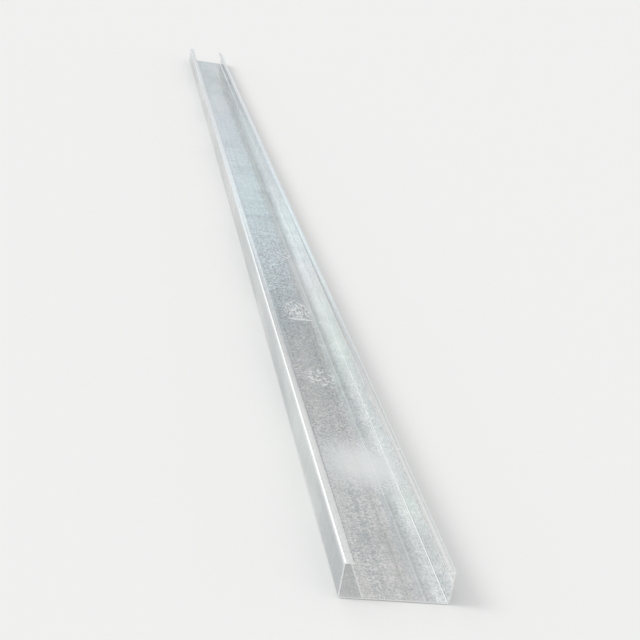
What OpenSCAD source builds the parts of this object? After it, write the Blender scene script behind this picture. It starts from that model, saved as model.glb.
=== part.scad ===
// Lipped C channel: one length of cold-formed structural channel, as purlins and side rails are
// made of. It lies on its web with the open side up. X runs across the web, Y along the bar and
// Z up the flanges. The origin is under the middle of the bar, on the outer face of the web.

/* [Section] */
// Depth of the web, over the outer faces of both flanges
web_w = 200; // [100:1:300]
// Width of each flange, from the outer face of the web to the outer face of its lip
flange_w = 70; // [40:1:120]
// Length of each lip, from the outer face of its flange to its slit edge
lip_w = 20; // [12:1:30]
// Thickness of the strip, the same all round the section
steel_t = 2.5; // [1:0.1:4]
// Radius on the inside of each bend
bend_r = 3; // [1:0.5:6]

/* [Bar] */
// Length of the bar between its square-cut ends
bar_l = 6000; // [500:100:12000]

/* [Hidden] */
// The strip keeps its thickness round a bend, so both of a bend's radii share one centre
bend_outer_r = bend_r + steel_t;
// Width of the open mouth between the slit edges of the lips
mouth_w = web_w - 2 * lip_w;
// How far the cut that opens the mouth runs past both faces of the lips
mouth_cut_over = steel_t;

$fn = 96;

// A rectangle with rounded corners, standing on the X axis and centred across it
module rounded_rectangle(w, h, r) {
  translate([-w / 2 + r, 0])
    square([w - 2 * r, h]);
  translate([-w / 2, r])
    square([w, h - 2 * r]);
  for (x = [-w / 2 + r, w / 2 - r], y = [r, h - r])
    translate([x, y])
      circle(r);
}

// The rolled section: a closed box of even wall with round corners, opened between the lips
module lipped_section() {
  difference() {
    rounded_rectangle(web_w, flange_w, bend_outer_r);
    translate([0, steel_t])
      rounded_rectangle(web_w - 2 * steel_t, flange_w - 2 * steel_t, bend_r);
    translate([-mouth_w / 2, flange_w - steel_t - mouth_cut_over])
      square([mouth_w, steel_t + 2 * mouth_cut_over]);
  }
}

// The bar, rolled from one strip and cut off square at both ends
module c_channel() {
  color("#C3C8C8")
    rotate([90, 0, 0])
      linear_extrude(height = bar_l, center = true)
        lipped_section();
}

c_channel();
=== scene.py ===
"""A bar of cold-formed lipped C channel in hot-dip galvanised steel, lying on its web."""

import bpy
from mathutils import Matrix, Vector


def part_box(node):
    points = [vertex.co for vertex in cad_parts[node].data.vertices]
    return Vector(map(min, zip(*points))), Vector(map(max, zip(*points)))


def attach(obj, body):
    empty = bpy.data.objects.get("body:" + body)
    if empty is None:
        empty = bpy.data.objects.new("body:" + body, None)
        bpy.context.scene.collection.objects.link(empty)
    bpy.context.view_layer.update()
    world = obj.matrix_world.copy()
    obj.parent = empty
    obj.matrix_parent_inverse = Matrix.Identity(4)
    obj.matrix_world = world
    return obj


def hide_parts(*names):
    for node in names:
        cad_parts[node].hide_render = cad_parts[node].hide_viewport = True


bl_info = {
    "name": "Lipped C Channel",
    "version": (1, 0, 0),
    "blender": (4, 5, 0),
    "location": "View3D > Sidebar > C Channel",
    "description": "Models a galvanised lipped C channel and the plain stage it lies on",
    "category": "Add Mesh",
}

import math
from collections import namedtuple

import bmesh
import bpy
from bpy.props import FloatProperty, FloatVectorProperty, PointerProperty
from mathutils import Quaternion, Vector, noise

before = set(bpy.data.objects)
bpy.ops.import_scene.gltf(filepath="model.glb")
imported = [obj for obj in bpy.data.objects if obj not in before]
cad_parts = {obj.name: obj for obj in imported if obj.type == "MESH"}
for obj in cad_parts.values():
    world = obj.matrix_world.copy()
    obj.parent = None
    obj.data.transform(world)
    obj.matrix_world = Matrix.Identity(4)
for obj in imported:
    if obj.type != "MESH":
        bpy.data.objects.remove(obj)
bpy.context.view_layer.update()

NODE = "c_channel"
BOX_LOW, BOX_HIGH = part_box(NODE)
WEB_W, BAR_L, FLANGE_W = BOX_HIGH - BOX_LOW

MM = 0.001
STRIP_MAP = "strip"
BAKE_MAP = "OFBake"
# The bake map cuts the bar into this many lengths, and draws a metre this large
BAKE_LENGTHS = 3
BAKE_SCALE = 0.44

# The inner face's coordinates stand apart from the outer face's by this much
INNER_SHIFT = 5 * WEB_W
# A roll leaves a crease in the web at this part of the way from its middle to its bends
ROLL_LINE_PART = 0.6


def linear(hex_colour):
    """The linear colour of an sRGB hex value."""
    parts = [int(hex_colour[i : i + 2], 16) / 255 for i in (1, 3, 5)]
    return tuple(c / 12.92 if c <= 0.04045 else ((c + 0.055) / 1.055) ** 2.4 for c in parts)


def size_property(name, description, default):
    """A length that a user may change, in metres."""
    return FloatProperty(
        name=name, description=description, default=default, min=0, unit="LENGTH", precision=5
    )


def share_property(name, description, default):
    """A share from 0 to 1 that a user may change."""
    return FloatProperty(name=name, description=description, default=default, min=0, max=1)


def angle_property(name, description, degrees):
    """An angle that a user may change, given in degrees."""
    return FloatProperty(
        name=name, description=description, default=math.radians(degrees), unit="ROTATION"
    )


def colour_property(name, description, hex_colour):
    """A colour that a user may change, kept as linear values."""
    return FloatVectorProperty(
        name=name, description=description, default=linear(hex_colour), size=3, min=0, max=1, subtype="COLOR"
    )


class ChannelSizes(bpy.types.PropertyGroup):
    """Sizes of the rolled section that the frame's box doesn't give."""

    steel_t: size_property("Thickness", "Thickness of the strip", 2.5 * MM)
    lip_w: size_property("Lip", "From the outer face of a flange to the lip's slit edge", 20 * MM)
    bend_outer_r: size_property("Bend", "Outer radius of each bend", 5.5 * MM)
    edge_break: size_property("Edge break", "Rounding that the shear leaves on a cut edge", 0.3 * MM)
    web_wave: size_property("Web wave", "How far the web's flat stands up between its bends", 0.5 * MM)
    side_wave: size_property("Side wave", "How far the flanges and lips wander along the bar", 0.4 * MM)
    lip_crown: size_property("Lip crown", "How far a lip's middle stands above its edges", 0.45 * MM)


class ZincFinish(bpy.types.PropertyGroup):
    """Colours and grain of the zinc coat and of the cut edges."""

    zinc_light: colour_property("Light grain", "Zinc grain that catches the light", "#FEFEFE")
    zinc_dark: colour_property("Dark grain", "Zinc grain that turns away", "#C2C9CD")
    warm_tint: colour_property("Warm tint", "Pinkish patches of the coat", "#F6F0F1")
    cool_tint: colour_property("Cool tint", "Greenish patches of the coat", "#EDF5F1")
    # Also the colour of painted shade: the outer faces, the web's strip under the left lip, a line along the
    # left slit edge and the far end
    dull_and_shade: colour_property("Dull zinc", "Streaks and bands that the rolls leave", "#A9AFB1")
    # Also the colour of painted sheen on the lips and of a painted pale reflection on the web
    scuff_and_sheen: colour_property("Scuff", "Whitish rub marks", "#FAFBFB")
    cut_steel: colour_property("Cut edge", "Bare steel of a sheared edge", "#F8F8F6")
    cut_score: colour_property("Cut score", "Scores that the blade leaves on a sheared edge", "#D6D8D8")
    # A small spangle is 1 to 3 mm wide; it is drawn a little coarser, so that it shows
    spangle: size_property("Spangle", "Width of one zinc grain", 3.4 * MM)
    tilt: share_property("Tilt", "How far the crystals lean out of the face", 0.03)
    roughness: share_property("Roughness", "Middle roughness of the coat", 0.10)


class StageSettings(bpy.types.PropertyGroup):
    """Floor and camera."""

    floor_colour: colour_property("Floor", "Pale studio floor", "#F0F0EF")
    lens: FloatProperty(
        name="Lens", description="Focal length on a 36 mm sensor", default=68.0, unit="CAMERA"
    )
    camera_place: FloatVectorProperty(
        name="Camera",
        description="Place of the camera",
        default=(-0.570, -4.737, 1.115),
        subtype="XYZ",
        unit="LENGTH",
    )
    camera_down: angle_property("Pitch", "How far the camera looks down", 19.21)
    camera_right: angle_property("Yaw", "How far the camera looks to the right", 11.61)
    camera_roll: angle_property("Roll", "How far the camera is turned about its view", -9.95)


# Mesh of the bar

BEND_SEGMENTS = 8
EDGE_SEGMENTS = 2
ROW_STEP = 25 * MM
WEB_COLUMNS = 20
FLANGE_COLUMNS = 6
LIP_COLUMNS = 4
SHARP_ANGLE = math.radians(60)
# An edge runs along the bar when more than this share of its length does
ALONG_SHARE = 0.99
# A face is part of a cut end when its normal points along the bar by more than this
END_FACING = 0.3

# Waves of the flats: their length along the bar, and their width across it
WAVE_LENGTH = 420 * MM
WAVE_ACROSS = 130 * MM
# A flange takes up its wave over this height from each bend
FLANGE_RISE = FLANGE_W / 3
# Each kind of flat reads its waves from its own layer of the noise, a lip or flange one up or down by side
WEB_LAYER = 0.5
LIP_LAYER = 4.5
FLANGE_LAYER = 8.5


def runs_along(edge):
    """Whether an edge runs along the bar."""
    way = edge.verts[1].co - edge.verts[0].co
    return abs(way.y) > ALONG_SHARE * way.length


def folded_sheet(sizes):
    """The strip's outer face with sharp folds, drawn out to the bar's length."""
    bm = bmesh.new()
    half, top = WEB_W / 2, FLANGE_W
    slit = half - sizes.lip_w
    outline = [(-slit, top), (-half, top), (-half, 0), (half, 0), (half, top), (slit, top)]
    verts = [bm.verts.new((x, -BAR_L / 2, z)) for x, z in outline]
    edges = [bm.edges.new(pair) for pair in zip(verts, verts[1:])]
    drawn = bmesh.ops.extrude_edge_only(bm, edges=edges)["geom"]
    far = [v for v in drawn if isinstance(v, bmesh.types.BMVert)]
    bmesh.ops.translate(bm, verts=far, vec=(0, BAR_L, 0))
    return bm


def roll_bends(bm, sizes):
    """Rounds the four folds."""
    folds = [e for e in bm.edges if runs_along(e) and len(e.link_faces) == 2]
    bmesh.ops.bevel(
        bm,
        geom=folds,
        affect="EDGES",
        offset=sizes.bend_outer_r,
        offset_type="OFFSET",
        segments=BEND_SEGMENTS,
        profile=0.5,
        material=-1,
    )


def divide_flats(bm, sizes):
    """Cuts the flats into columns and the whole strip into rows, so that they can carry waves."""
    flats = [
        (WEB_COLUMNS, lambda c: c.z < MM),
        (FLANGE_COLUMNS, lambda c: sizes.bend_outer_r < c.z < FLANGE_W - sizes.bend_outer_r),
        (LIP_COLUMNS, lambda c: c.z > FLANGE_W - MM),
    ]
    for columns, on_flat in flats:
        across = [
            e
            for e in bm.edges
            if not runs_along(e)
            and e.calc_length() > 2 * sizes.bend_outer_r
            and on_flat((e.verts[0].co + e.verts[1].co) / 2)
        ]
        bmesh.ops.subdivide_edges(bm, edges=across, cuts=columns - 1, use_grid_fill=True)
    along = [e for e in bm.edges if runs_along(e)]
    rows = round(BAR_L / ROW_STEP)
    bmesh.ops.subdivide_edges(bm, edges=along, cuts=rows - 1, use_grid_fill=True)


def wave(across, along, layer):
    """A smooth wave from 0 to 1 at a place across and along a flat."""
    return 0.5 + 0.5 * noise.noise(Vector((across / WAVE_ACROSS, along / WAVE_LENGTH, layer)))


def rise(distance, width):
    """0 at a bend, 1 once the flat is a width away from it."""
    t = min(max(distance / width, 0.0), 1.0)
    return t * t * (3 - 2 * t)


def lay_waves(bm, sizes):
    """Moves the flats off true, as rolled strip is: the web stands up, the flanges and lips wander."""
    half, bend = WEB_W / 2, sizes.bend_outer_r
    for v in bm.verts:
        x, y, z = v.co
        side = math.copysign(1.0, x)
        inward = half - bend - abs(x)
        if z < bend and inward > 0:
            ramp = min(inward / ((half - bend) * (1 - ROLL_LINE_PART)), 1.0)
            v.co.z += sizes.web_wave * wave(x, y, WEB_LAYER) * ramp
        elif z > FLANGE_W - bend and inward > 0:
            part = inward / (sizes.lip_w - bend)
            v.co.z += sizes.lip_crown * 4 * part * (1 - part)
            v.co.z -= sizes.side_wave * wave(0, y, LIP_LAYER + side) * part
        elif bend < z < FLANGE_W - bend:
            up = min(z - bend, FLANGE_W - bend - z)
            v.co.x -= side * sizes.side_wave * wave(z, y, FLANGE_LAYER + side) * rise(up, FLANGE_RISE)


def give_thickness(bm, sizes):
    """Thickens the sheet inwards and eases the sheared edges."""
    web = min(bm.faces, key=lambda f: f.calc_center_median().z)
    if web.normal.z > 0:
        bmesh.ops.reverse_faces(bm, faces=bm.faces[:])
    bmesh.ops.solidify(bm, geom=bm.faces[:], thickness=sizes.steel_t)
    bmesh.ops.recalc_face_normals(bm, faces=bm.faces[:])
    sheared = [e for e in bm.edges if e.calc_face_angle(0) > SHARP_ANGLE]
    bmesh.ops.bevel(
        bm,
        geom=sheared,
        affect="EDGES",
        offset=sizes.edge_break,
        offset_type="OFFSET",
        segments=EDGE_SEGMENTS,
        profile=0.5,
        material=-1,
    )


def section_place(x, z, sizes):
    """Where a point of the section lies on the flat strip.

    Gives its place across from the strip's middle, and its depth in from the outer face.
    """
    half, bend = WEB_W / 2, sizes.bend_outer_r
    middle = bend - sizes.steel_t / 2
    arc = middle * math.pi / 2
    flat_web, flat_flange = half - bend, FLANGE_W - 2 * bend
    across, side = abs(x), math.copysign(1.0, x)
    out = across - flat_web
    if z < bend and out > 0:
        place = flat_web + middle * math.atan2(out, bend - z)
        depth = bend - math.hypot(out, bend - z)
    elif z > FLANGE_W - bend and out > 0:
        up = z - (FLANGE_W - bend)
        place = flat_web + arc + flat_flange + middle * math.atan2(up, out)
        depth = bend - math.hypot(out, up)
    elif z < FLANGE_W / 2 and out <= 0:
        place, depth = across, z
    elif out <= 0:
        place, depth = flat_web + 2 * arc + flat_flange - out, FLANGE_W - z
    else:
        place, depth = flat_web + arc + z - bend, half - across
    return side * place, depth


def at_cut_end(face):
    """Whether a face belongs to a cut end."""
    return abs(face.normal.y) > END_FACING


def is_sheared(face, sizes):
    """Whether a face belongs to a cut end or a slit edge."""
    centre = face.calc_center_median()
    at_slit = centre.z > FLANGE_W / 2 and abs(centre.x) < WEB_W / 2 - sizes.lip_w + sizes.edge_break
    return at_cut_end(face) or at_slit


def lay_maps(bm, sizes):
    """Writes the flat strip's own coordinates, in metres, and a bake map, and marks the sheared faces.

    The bake map lays the inner and outer faces side by side, cut into lengths, with the sheared
    edges as flaps.
    """
    strip = bm.loops.layers.uv.new(STRIP_MAP)
    bake = bm.loops.layers.uv.new(BAKE_MAP)
    length = BAR_L / BAKE_LENGTHS
    columns = 2 * BAKE_LENGTHS
    for face in bm.faces:
        face.smooth = True
        face.material_index = int(is_sheared(face, sizes))
        centre = face.calc_center_median()
        inner = section_place(centre.x, centre.z, sizes)[1] > sizes.steel_t / 2
        cut = min(int((centre.y + BAR_L / 2) / length), BAKE_LENGTHS - 1)
        middle = (2 * cut + inner + 0.5) / columns
        start = cut * length - BAR_L / 2
        at_end = at_cut_end(face)
        at_slit = face.material_index == 1 and not at_end
        for loop in face.loops:
            x, y, z = loop.vert.co
            place, depth = section_place(x, z, sizes)
            loop[strip].uv = (place + inner * INNER_SHIFT, y)
            flap = sizes.steel_t - depth if inner else depth
            across = place + math.copysign(flap, place) * at_slit
            along = y - start + math.copysign(flap, y) * at_end
            loop[bake].uv = (middle + across * BAKE_SCALE, 0.5 + (along - length / 2) * BAKE_SCALE)


# Materials

# Cloudy patterns: the size of a patch across and along the strip, its detail, and the noise levels at which
# it starts and is full. The lines of the rolls, the flecks of a scuff and the scores of the blade are drawn
# coarser than real ones, so that they show.
Cloud = namedtuple("Cloud", "across along detail low high")
CLOUD_ROUGHNESS = 0.55
CHATTER = Cloud(500 * MM, 35 * MM, 3.0, 0.35, 0.65)
ROLL_LINES = Cloud(3.5 * MM, 1600 * MM, 2.0, 0.52, 0.72)
DRAWN_LINES = Cloud(5 * MM, 2500 * MM, 2.0, 0.48, 0.62)
STREAKS = Cloud(12 * MM, 1200 * MM, 3.0, 0.54, 0.74)
STAINS = Cloud(200 * MM, 250 * MM, 3.0, 0.45, 0.7)
WARM_PATCHES = Cloud(120 * MM, 900 * MM, 2.0, 0.42, 0.75)
COOL_PATCHES = Cloud(120 * MM, 700 * MM, 2.0, 0.55, 0.3)
SCUFFS = Cloud(30 * MM, 50 * MM, 4.0, 0.68, 0.9)
BLADE_SCORES = Cloud(1.5 * MM, 4 * MM, 2.0, 0.4, 0.7)

# Worn patches on the inside of the web, in metres: the middle across and along, the half width and half
# length, the size of a fleck across and along, the noise level that a fleck starts from, how far it goes to
# white, and the part of the patch that is full before it fades. The last is no wear but a painted pale
# reflection, without flecks.
PalePatch = namedtuple(
    "PalePatch", "across along half_width half_length fleck_across fleck_along low white full"
)
WORN_AND_SHEEN_PATCHES = (
    PalePatch(0.014, -1.550, 0.044, 0.090, 0.007, 0.024, 0.48, 0.9, 0.6),
    PalePatch(0.014, -1.622, 0.044, 0.008, 0.080, 0.050, 0.10, 1.0, 0.6),
    PalePatch(0.012, -2.030, 0.050, 0.065, 0.014, 0.012, 0.54, 1.0, 0.6),
    PalePatch(0.030, -1.030, 0.040, 0.060, 0.010, 0.024, 0.52, 0.7, 0.6),
    # Painted pale reflection: a soft pale patch on the web, without flecks
    PalePatch(0.030, -2.490, 0.160, 0.175, 0.200, 0.300, 0.10, 0.95, 0.1),
)
FLECK_DETAIL = 3.0
FLECK_BORDER = 0.08

# Half widths of the lines along the bar
ROLL_LINE_HALF = 2.2 * MM
BEND_LINE_HALF = 6 * MM
# Painted glint: a pale line along each of the web's bends
BEND_GLINT_HALF = 5 * MM
# Whitish lips: partly rub marks, partly painted sheen
LIP_SHEEN_HALF = 12 * MM
# Painted shadow: a dark line along the left lip's slit edge
SLIT_SHADOW_HALF = 3 * MM
# Softness of the borders of the bands along the bar
# Border of the painted shade on the web's strip under the left lip
LIP_SHADE_BORDER = 0.5 * MM
FACE_BORDER = 1 * MM
BEND_BORDER = 2 * MM
# Border of the painted sheen band on the web by the right bend
SHEEN_BAND_BORDER = 14 * MM
# Places along the bar, in metres, between which its far end is painted darker: painted shade
FAR_SHADE_START = 1.0
FAR_SHADE_FULL = 2.8

# The crystals' borders wander in waves, this many to a crystal, by this part of its width
RAGGED_WAVES = 1.5
RAGGED_DETAIL = 2.0
RAGGED_REACH = 0.5
# What a normal map holds where a face doesn't lean
FLAT_NORMAL = (0.5, 0.5, 1.0, 1.0)
# The part of the crystals' lean that the rolls leave on the flanges and lips, and the part that is taken
# away in the painted shade and painted sheen bands by the web's bends
ROLLED_LEAN = 0.15
BAND_LEAN_CUT = 0.6
# How far a crystal's roughness goes below and above the middle
GLOSS_BELOW = 0.03
GLOSS_ABOVE = 0.05
CHATTER_RISE = 0.03 * MM
# Little of a sheared edge is a mirror, because the blade tears it
CUT_METALLIC = 0.2
CUT_ROUGHNESS_LOW = 0.42
CUT_ROUGHNESS_HIGH = 0.54


def add(tree, kind, inputs=None, **settings):
    """Adds a node with its settings, and sets or links its inputs."""
    made = tree.nodes.new(kind)
    for name, value in settings.items():
        setattr(made, name, value)
    for socket, value in (inputs or {}).items():
        if isinstance(value, bpy.types.NodeSocket):
            tree.links.new(value, made.inputs[socket])
        else:
            made.inputs[socket].default_value = value
    return made


def new_material(name):
    """An empty material with its output and a shader joined to it."""
    material = bpy.data.materials.new(name)
    material.use_nodes = True
    tree = material.node_tree
    tree.nodes.clear()
    shader = add(tree, "ShaderNodeBsdfPrincipled")
    add(tree, "ShaderNodeOutputMaterial", {"Surface": shader.outputs["BSDF"]})
    return material, tree, shader


def line_along(tree, place, centre, half_width):
    """A soft line along the bar: 1 at a place across the strip, and 0 a half width off it."""
    away = add(tree, "ShaderNodeMath", {0: place, 1: centre}, operation="SUBTRACT")
    gap = add(tree, "ShaderNodeMath", {0: away.outputs[0]}, operation="ABSOLUTE")
    soft = add(
        tree,
        "ShaderNodeMapRange",
        {"Value": gap.outputs[0], "From Max": half_width, "To Min": 1.0, "To Max": 0.0},
        interpolation_type="SMOOTHSTEP",
    )
    return soft.outputs["Result"]


def band_along(tree, place, edge, edge_soft, end, end_soft):
    """A band along the bar between two places across the strip: 1 inside, 0 outside.

    Each of its borders has its own softness.
    """
    inside = 1.0
    for at, soft in ((edge, edge_soft), (end, end_soft)):
        way = math.copysign(soft, edge + end - 2 * at)
        ramp = add(
            tree,
            "ShaderNodeMapRange",
            {"Value": place, "From Min": at - way, "From Max": at + way},
            interpolation_type="SMOOTHSTEP",
        )
        inside = add(
            tree, "ShaderNodeMath", {0: ramp.outputs["Result"], 1: inside}, operation="MULTIPLY"
        ).outputs[0]
    return inside


def cloud(tree, strip, pattern):
    """Cloudy patches on the strip: 0 at the pattern's low noise level, 1 at its high one."""
    spread = add(
        tree, "ShaderNodeMapping", {"Vector": strip, "Scale": (1 / pattern.across, 1 / pattern.along, 1)}
    )
    cells = add(
        tree,
        "ShaderNodeTexNoise",
        {
            "Vector": spread.outputs["Vector"],
            "Scale": 1.0,
            "Detail": pattern.detail,
            "Roughness": CLOUD_ROUGHNESS,
        },
        noise_dimensions="2D",
    )
    level = add(
        tree,
        "ShaderNodeMapRange",
        {"Value": cells.outputs["Fac"], "From Min": pattern.low, "From Max": pattern.high},
        interpolation_type="SMOOTHSTEP",
    )
    return level.outputs["Result"]


def strip_places(tree, sizes, strip):
    """Patterns from 0 to 1 that keep to their places on the strip, by name."""
    parted = add(tree, "ShaderNodeSeparateXYZ", {"Vector": strip})
    signed = add(
        tree,
        "ShaderNodeMath",
        {0: parted.outputs["X"], 1: INNER_SHIFT / 2, 2: -INNER_SHIFT / 2},
        operation="WRAP",
    ).outputs[0]
    place = add(tree, "ShaderNodeMath", {0: signed}, operation="ABSOLUTE").outputs[0]
    outer = add(
        tree, "ShaderNodeMath", {0: parted.outputs["X"], 1: INNER_SHIFT / 2}, operation="LESS_THAN"
    ).outputs[0]
    flat_half = WEB_W / 2 - sizes.bend_outer_r
    arc = (sizes.bend_outer_r - sizes.steel_t / 2) * math.pi / 2
    low_bend = flat_half + arc / 2
    high_bend = low_bend + arc + FLANGE_W - 2 * sizes.bend_outer_r
    slit = high_bend + arc / 2 + sizes.lip_w - sizes.bend_outer_r
    lip_middle = (high_bend + slit) / 2
    roll_line = flat_half * ROLL_LINE_PART
    # Pale lines at the roll line and along each bend
    pale_lines = line_along(tree, place, roll_line, ROLL_LINE_HALF)
    for bend in (low_bend, high_bend):
        line = line_along(tree, place, bend, BEND_LINE_HALF)
        pale_lines = add(tree, "ShaderNodeMath", {0: pale_lines, 1: line}, operation="MAXIMUM").outputs[0]
    below_lip = band_along(tree, place, -slit, FACE_BORDER, high_bend, FACE_BORDER)
    lip = line_along(tree, place, lip_middle, LIP_SHEEN_HALF)
    far = add(
        tree,
        "ShaderNodeMapRange",
        {"Value": parted.outputs["Y"], "From Min": FAR_SHADE_START, "From Max": FAR_SHADE_FULL},
        interpolation_type="SMOOTHSTEP",
    )
    return {
        # Painted shade: the far end is drawn darker
        "far": far.outputs["Result"],
        "pale_lines": pale_lines,
        "web": band_along(tree, place, -low_bend, FACE_BORDER, low_bend, BEND_BORDER),
        # Painted glint along each of the web's bends
        "painted_bend_glint": line_along(tree, place, low_bend, BEND_GLINT_HALF),
        "lip": lip,
        # Painted sheen on the lips' tops
        "lip_top": add(tree, "ShaderNodeMath", {0: outer, 1: lip}, operation="MULTIPLY").outputs[0],
        # Painted shade on the outer faces of the web and flanges
        "outer": add(tree, "ShaderNodeMath", {0: outer, 1: below_lip}, operation="MULTIPLY").outputs[0],
        # Painted shadow: a line along the left lip's slit edge
        "painted_slit_shadow": line_along(tree, signed, -slit, SLIT_SHADOW_HALF),
        # Painted shade: the web's strip under the left lip
        "painted_lip_shade": band_along(tree, signed, -roll_line, LIP_SHADE_BORDER, -flat_half, BEND_BORDER),
        # Painted sheen: a pale band on the web by the right bend, standing in for a reflection
        "painted_sheen_band": band_along(
            tree, signed, roll_line - SHEEN_BAND_BORDER, SHEEN_BAND_BORDER, flat_half, BEND_BORDER
        ),
    }


def zinc_spangle(tree, strip, finish, lean):
    """Zinc crystals with ragged borders, and the shading normal of each: each leans its own way."""
    ragged = add(
        tree,
        "ShaderNodeTexNoise",
        {"Vector": strip, "Scale": RAGGED_WAVES / finish.spangle, "Detail": RAGGED_DETAIL},
        noise_dimensions="2D",
    )
    moved = add(
        tree,
        "ShaderNodeVectorMath",
        {0: ragged.outputs["Color"], 1: (RAGGED_REACH * finish.spangle,) * 3, 2: strip},
        operation="MULTIPLY_ADD",
    )
    grain = add(
        tree,
        "ShaderNodeTexVoronoi",
        {"Vector": moved.outputs["Vector"], "Scale": 1 / finish.spangle},
        voronoi_dimensions="2D",
        feature="F1",
    ).outputs["Color"]
    tilt = add(
        tree,
        "ShaderNodeMix",
        {"Factor": lean, "A": FLAT_NORMAL, "B": grain},
        data_type="RGBA",
    )
    facets = add(tree, "ShaderNodeNormalMap", {"Color": tilt.outputs["Result"]}, uv_map=STRIP_MAP)
    return add(tree, "ShaderNodeSeparateColor", {"Color": grain}), facets.outputs["Normal"]


def scuffs_and_sheen_patches(tree, strip):
    """Whitish rub marks: a few all over, the worn patches on the inside of the web, and a painted pale
    reflection there.
    """
    scuffs_and_sheen = cloud(tree, strip, SCUFFS)
    for patch in WORN_AND_SHEEN_PATCHES:
        wide, long = patch.half_width, patch.half_length
        spot = add(
            tree,
            "ShaderNodeMapping",
            {
                "Vector": strip,
                "Location": (-(INNER_SHIFT + patch.across) / wide, -patch.along / long, 0),
                "Scale": (1 / wide, 1 / long, 0),
            },
        )
        reach = add(tree, "ShaderNodeVectorMath", {0: spot.outputs["Vector"]}, operation="LENGTH")
        inside = add(
            tree,
            "ShaderNodeMapRange",
            {
                "Value": reach.outputs["Value"],
                "From Min": 1.0,
                "From Max": patch.full,
                "To Max": patch.white,
            },
            interpolation_type="SMOOTHSTEP",
        )
        fleck = Cloud(
            patch.fleck_across, patch.fleck_along, FLECK_DETAIL, patch.low, patch.low + FLECK_BORDER
        )
        worn = add(
            tree,
            "ShaderNodeMath",
            {0: inside.outputs["Result"], 1: cloud(tree, strip, fleck)},
            operation="MULTIPLY",
        )
        scuffs_and_sheen = add(
            tree, "ShaderNodeMath", {0: scuffs_and_sheen, 1: worn.outputs[0]}, operation="MAXIMUM"
        ).outputs[0]
    return scuffs_and_sheen


def crystal_lean(tree, places, finish):
    """How far the crystals lean: most on the web, less on the flanges and lips, and less in the painted
    shade and sheen bands by the web's bends.
    """
    lean = add(
        tree,
        "ShaderNodeMapRange",
        {"Value": places["web"], "To Min": ROLLED_LEAN * finish.tilt, "To Max": finish.tilt},
    ).outputs["Result"]
    by_bends = add(
        tree, "ShaderNodeMath", {0: places["painted_sheen_band"], 1: places["painted_lip_shade"]}, operation="MAXIMUM"
    ).outputs[0]
    band_smoothing = add(
        tree, "ShaderNodeMath", {0: by_bends, 1: -BAND_LEAN_CUT, 2: 1.0}, operation="MULTIPLY_ADD"
    ).outputs[0]
    return add(tree, "ShaderNodeMath", {0: lean, 1: band_smoothing}, operation="MULTIPLY").outputs[0]


def zinc_colour(tree, strip, places, finish, lie, chatter, scuffs_and_sheen):
    """The coat's colour: light and dark crystals under greyer, tinted and whitish coats, some of them
    painted shade and painted sheen.
    """
    zinc = add(
        tree,
        "ShaderNodeMix",
        {"Factor": lie.outputs["Blue"], "A": (*finish.zinc_dark, 1), "B": (*finish.zinc_light, 1)},
        data_type="RGBA",
    ).outputs["Result"]
    stains = add(
        tree, "ShaderNodeMath", {0: cloud(tree, strip, STAINS), 1: places["web"]}, operation="MULTIPLY"
    ).outputs[0]
    # Each coat's colour, where it lies, and how much of it shows there
    coats = (
        # Painted shade: the outer faces are drawn darker
        (finish.dull_and_shade, places["outer"], 0.65),
        # Painted shade: the far end is drawn darker
        (finish.dull_and_shade, places["far"], 0.6),
        (finish.warm_tint, cloud(tree, strip, WARM_PATCHES), 0.5),
        (finish.cool_tint, cloud(tree, strip, COOL_PATCHES), 0.5),
        (finish.dull_and_shade, cloud(tree, strip, STREAKS), 0.2),
        (finish.dull_and_shade, stains, 0.2),
        (finish.dull_and_shade, chatter, 0.12),
        # Painted shade on the web's strip under the left lip
        (finish.dull_and_shade, places["painted_lip_shade"], 0.35),
        (finish.scuff_and_sheen, places["pale_lines"], 0.8),
        # Whitish lips: partly rub marks, partly painted sheen
        (finish.scuff_and_sheen, places["lip"], 0.8),
        (finish.dull_and_shade, cloud(tree, strip, DRAWN_LINES), 0.15),
        # Painted shadow along the left lip's slit edge
        (finish.dull_and_shade, places["painted_slit_shadow"], 0.9),
        # Rub marks and the painted pale reflection patch
        (finish.scuff_and_sheen, scuffs_and_sheen, 0.85),
    )
    for colour, pattern, amount in coats:
        part = add(tree, "ShaderNodeMath", {0: pattern, 1: amount}, operation="MULTIPLY")
        zinc = add(
            tree,
            "ShaderNodeMix",
            {"Factor": part.outputs[0], "A": zinc, "B": (*colour, 1)},
            data_type="RGBA",
        ).outputs["Result"]
    return zinc


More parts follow.
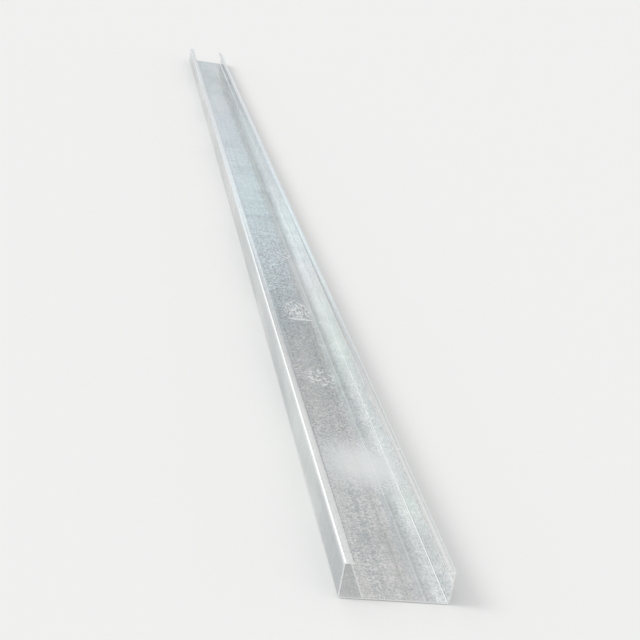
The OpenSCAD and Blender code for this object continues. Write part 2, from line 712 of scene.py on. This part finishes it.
def galvanised_steel(sizes, finish):
    """Hot-dip galvanised steel: rolled strip with a skin of zinc crystals."""
    # To the eye it is a pale grey mirror, broken up by fine crystals that each lean and shine their own way,
    # with soft lines along the bar and whitish rub marks, and with painted shade and painted sheen in places
    material, tree, shader = new_material("hot_dip_galvanised_steel")
    strip = add(tree, "ShaderNodeUVMap", uv_map=STRIP_MAP).outputs["UV"]
    places = strip_places(tree, sizes, strip)
    scuffs_and_sheen = scuffs_and_sheen_patches(tree, strip)
    chatter = cloud(tree, strip, CHATTER)
    lie, facets = zinc_spangle(tree, strip, finish, crystal_lean(tree, places, finish))
    colour = zinc_colour(tree, strip, places, finish, lie, chatter, scuffs_and_sheen)
    tree.links.new(colour, shader.inputs["Base Color"])

    # Gloss differs from crystal to crystal, and is duller in the chatter, the rolled lines, the pale lines,
    # and in the rub marks and the painted reflection patch
    gloss = add(
        tree,
        "ShaderNodeMapRange",
        {
            "Value": lie.outputs["Red"],
            "To Min": finish.roughness - GLOSS_BELOW,
            "To Max": finish.roughness + GLOSS_ABOVE,
        },
    ).outputs["Result"]
    duller = (
        (chatter, 0.04),
        (cloud(tree, strip, ROLL_LINES), 0.06),
        (places["pale_lines"], 0.06),
        (scuffs_and_sheen, 0.3),
    )
    for pattern, amount in duller:
        gloss = add(
            tree, "ShaderNodeMath", {0: pattern, 1: amount, 2: gloss}, operation="MULTIPLY_ADD"
        ).outputs[0]
    tree.links.new(gloss, shader.inputs["Roughness"])

    relief = add(
        tree, "ShaderNodeBump", {"Height": chatter, "Distance": CHATTER_RISE, "Normal": facets}
    ).outputs["Normal"]
    tree.links.new(relief, shader.inputs["Normal"])

    # Painted glint along the web's bends, a painted sheen band on the web by the right bend and painted
    # sheen on the lips' tops; the rub marks and the painted reflection patch are whitish too
    metal = 1.0
    whitish = (
        (places["painted_bend_glint"], 0.25),
        (places["painted_sheen_band"], 0.5),
        (places["lip_top"], 0.4),
        (scuffs_and_sheen, 0.35),
    )
    for pattern, amount in whitish:
        metal = add(
            tree, "ShaderNodeMath", {0: pattern, 1: -amount, 2: metal}, operation="MULTIPLY_ADD"
        ).outputs[0]
    tree.links.new(metal, shader.inputs["Metallic"])
    return material


def sheared_steel(finish):
    """A sheared edge: bare bright steel, finely scored by the blade."""
    # To the eye it is a pale matt line round the cut, with faint darker scores across it
    material, tree, shader = new_material("sheared_steel_edge")
    strip = add(tree, "ShaderNodeUVMap", uv_map=STRIP_MAP).outputs["UV"]
    scores = cloud(tree, strip, BLADE_SCORES)
    bare = add(
        tree,
        "ShaderNodeMix",
        {"Factor": scores, "A": (*finish.cut_steel, 1), "B": (*finish.cut_score, 1)},
        data_type="RGBA",
    )
    bite = add(
        tree,
        "ShaderNodeMapRange",
        {"Value": scores, "To Min": CUT_ROUGHNESS_LOW, "To Max": CUT_ROUGHNESS_HIGH},
    )
    tree.links.new(bare.outputs["Result"], shader.inputs["Base Color"])
    tree.links.new(bite.outputs["Result"], shader.inputs["Roughness"])
    shader.inputs["Metallic"].default_value = CUT_METALLIC
    return material


class CCHANNEL_OT_bar(bpy.types.Operator):
    """Models the rolled bar with its bends, waves and sheared edges, and gives it its zinc coat"""

    bl_idname = "c_channel.bar"
    bl_label = "C Channel Bar"

    def execute(self, context):
        sizes, finish = context.scene.c_channel_sizes, context.scene.c_channel_finish
        bm = folded_sheet(sizes)
        roll_bends(bm, sizes)
        divide_flats(bm, sizes)
        lay_waves(bm, sizes)
        give_thickness(bm, sizes)
        lay_maps(bm, sizes)
        mesh = bpy.data.meshes.new("rolled_bar")
        bm.to_mesh(mesh)
        bm.free()
        bar = bpy.data.objects.new("rolled_bar", mesh)
        context.scene.collection.objects.link(bar)
        mesh.materials.append(galvanised_steel(sizes, finish))
        mesh.materials.append(sheared_steel(finish))
        even = bar.modifiers.new("even_shading", "WEIGHTED_NORMAL")
        even.keep_sharp = True
        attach(bar, "root")
        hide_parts(NODE)
        return {"FINISHED"}


# Stage

FLOOR_SIDE = 400.0
# The floor lies this far below the web, so that the two don't share a face
FLOOR_DROP = 0.5 * MM
# The camera's sensor, in the camera's own millimetres
SENSOR_WIDTH = 36.0
# The surround's colour by the sine of the height above the horizon: pale where it meets the floor, a little
# greyer up to a bluish band of daylight, a grey strip above that, then paler up to the ceiling
SURROUND = (
    (0.0, "#F0F0EF"),
    (0.1, "#E7EAEC"),
    (0.205, "#D5DADE"),
    (0.225, "#E4F3FF"),
    (0.28, "#E8F6FF"),
    (0.318, "#9EA0A2"),
    (0.4, "#D8D8D6"),
    (0.5, "#DADAD8"),
    (0.85, "#F2F2F2"),
)


def matt_floor_paint(stage):
    """Matt floor paint, rolled on: pale and without gloss, so that it shows only the bar's soft shade."""
    material, _, shader = new_material("matt_floor_paint")
    shader.inputs["Base Color"].default_value = (*stage.floor_colour, 1)
    shader.inputs["Specular IOR Level"].default_value = 0.0
    return material


def lay_floor(scene, stage):
    """Lays a plain floor that reaches to the horizon."""
    bm = bmesh.new()
    bmesh.ops.create_grid(bm, x_segments=1, y_segments=1, size=FLOOR_SIDE / 2)
    bmesh.ops.translate(bm, verts=bm.verts[:], vec=(0, 0, -FLOOR_DROP))
    mesh = bpy.data.meshes.new("studio_floor")
    bm.to_mesh(mesh)
    bm.free()
    floor = bpy.data.objects.new("studio_floor", mesh)
    scene.collection.objects.link(floor)
    mesh.materials.append(matt_floor_paint(stage))


def light_surround(scene):
    """Lights the stage from all round, with the surround's colours by height."""
    world = bpy.data.worlds.new("studio")
    world.use_nodes = True
    dome = world.node_tree
    way = add(dome, "ShaderNodeTexCoord").outputs["Generated"]
    height = add(dome, "ShaderNodeSeparateXYZ", {"Vector": way}).outputs["Z"]
    ramp = add(dome, "ShaderNodeValToRGB", {"Fac": height})
    ramp.color_ramp.interpolation = "CARDINAL"
    stops = ramp.color_ramp.elements
    # New stops start anywhere, and get their places and colours in order afterwards
    while len(stops) < len(SURROUND):
        stops.new(0.5)
    for stop, (sine, colour) in zip(stops, SURROUND):
        stop.position = sine
        stop.color = (*linear(colour), 1)
    surround = dome.nodes["Background"]
    dome.links.new(ramp.outputs["Color"], surround.inputs["Color"])
    surround.inputs["Strength"].default_value = 1.0
    scene.world = world


def hang_lamp(scene, name, azimuth, elevation, width, colour, radiance):
    """A round soft lamp, far off, in a direction and of a width in degrees. A radiance of 1 is white."""
    lamp = bpy.data.lights.new(name, "SUN")
    lamp.angle = math.radians(width)
    lamp.color = linear(colour)
    lamp.energy = radiance * math.pi * math.sin(lamp.angle / 2) ** 2
    made = bpy.data.objects.new(name, lamp)
    turn, up = math.radians(azimuth), math.radians(elevation)
    toward = Vector((math.sin(turn) * math.cos(up), math.cos(turn) * math.cos(up), math.sin(up)))
    made.location = BAR_L * toward
    made.rotation_euler = (-toward).to_track_quat("-Z", "Y").to_euler()
    made.visible_camera = False
    scene.collection.objects.link(made)


def place_camera(scene, stage):
    """Sets the camera in its place, turned down, to the right and about its view."""
    camera = bpy.data.cameras.new("camera")
    camera.sensor_width = SENSOR_WIDTH
    camera.lens = stage.lens
    camera.clip_end = FLOOR_SIDE
    made = bpy.data.objects.new("camera", camera)
    made.location = stage.camera_place
    down, right = stage.camera_down, stage.camera_right
    ahead = Vector((math.sin(right) * math.cos(down), math.cos(right) * math.cos(down), -math.sin(down)))
    made.rotation_mode = "QUATERNION"
    turn = Quaternion(ahead, stage.camera_roll)
    made.rotation_quaternion = turn @ ahead.to_track_quat("-Z", "Y")
    scene.collection.objects.link(made)
    scene.camera = made


class CCHANNEL_OT_stage(bpy.types.Operator):
    """Lays the floor, hangs the lamps and sets the camera"""

    bl_idname = "c_channel.stage"
    bl_label = "C Channel Stage"

    def execute(self, context):
        scene, stage = context.scene, context.scene.c_channel_stage
        lay_floor(scene, stage)
        light_surround(scene)
        hang_lamp(
            scene, "key_lamp", azimuth=-85, elevation=40, width=25, colour="#FFFFFF", radiance=6.0
        )
        hang_lamp(
            scene, "back_left_lamp", azimuth=-20, elevation=27, width=34, colour="#FFFFFA", radiance=0.62
        )
        place_camera(scene, stage)
        scene.view_settings.view_transform = "Standard"
        return {"FINISHED"}


class CCHANNEL_PT_panel(bpy.types.Panel):
    """Lists the settings of the bar and the stage, and their operators"""

    bl_idname = "CCHANNEL_PT_panel"
    bl_label = "C Channel"
    bl_space_type = "VIEW_3D"
    bl_region_type = "UI"
    bl_category = "C Channel"

    def draw(self, context):
        scene = context.scene
        for group in (scene.c_channel_sizes, scene.c_channel_finish, scene.c_channel_stage):
            for name in group.__annotations__:
                self.layout.prop(group, name)
        self.layout.operator(CCHANNEL_OT_bar.bl_idname)
        self.layout.operator(CCHANNEL_OT_stage.bl_idname)


CLASSES = (ChannelSizes, ZincFinish, StageSettings, CCHANNEL_OT_bar, CCHANNEL_OT_stage, CCHANNEL_PT_panel)


def register():
    """Adds the classes and their settings."""
    for kind in CLASSES:
        bpy.utils.register_class(kind)
    bpy.types.Scene.c_channel_sizes = PointerProperty(type=ChannelSizes)
    bpy.types.Scene.c_channel_finish = PointerProperty(type=ZincFinish)
    bpy.types.Scene.c_channel_stage = PointerProperty(type=StageSettings)


def unregister():
    """Takes the settings and classes away."""
    del bpy.types.Scene.c_channel_sizes
    del bpy.types.Scene.c_channel_finish
    del bpy.types.Scene.c_channel_stage
    for kind in reversed(CLASSES):
        bpy.utils.unregister_class(kind)


def main():
    register()
    bpy.ops.c_channel.bar()
    bpy.ops.c_channel.stage()


if __name__ == "__main__":
    main()
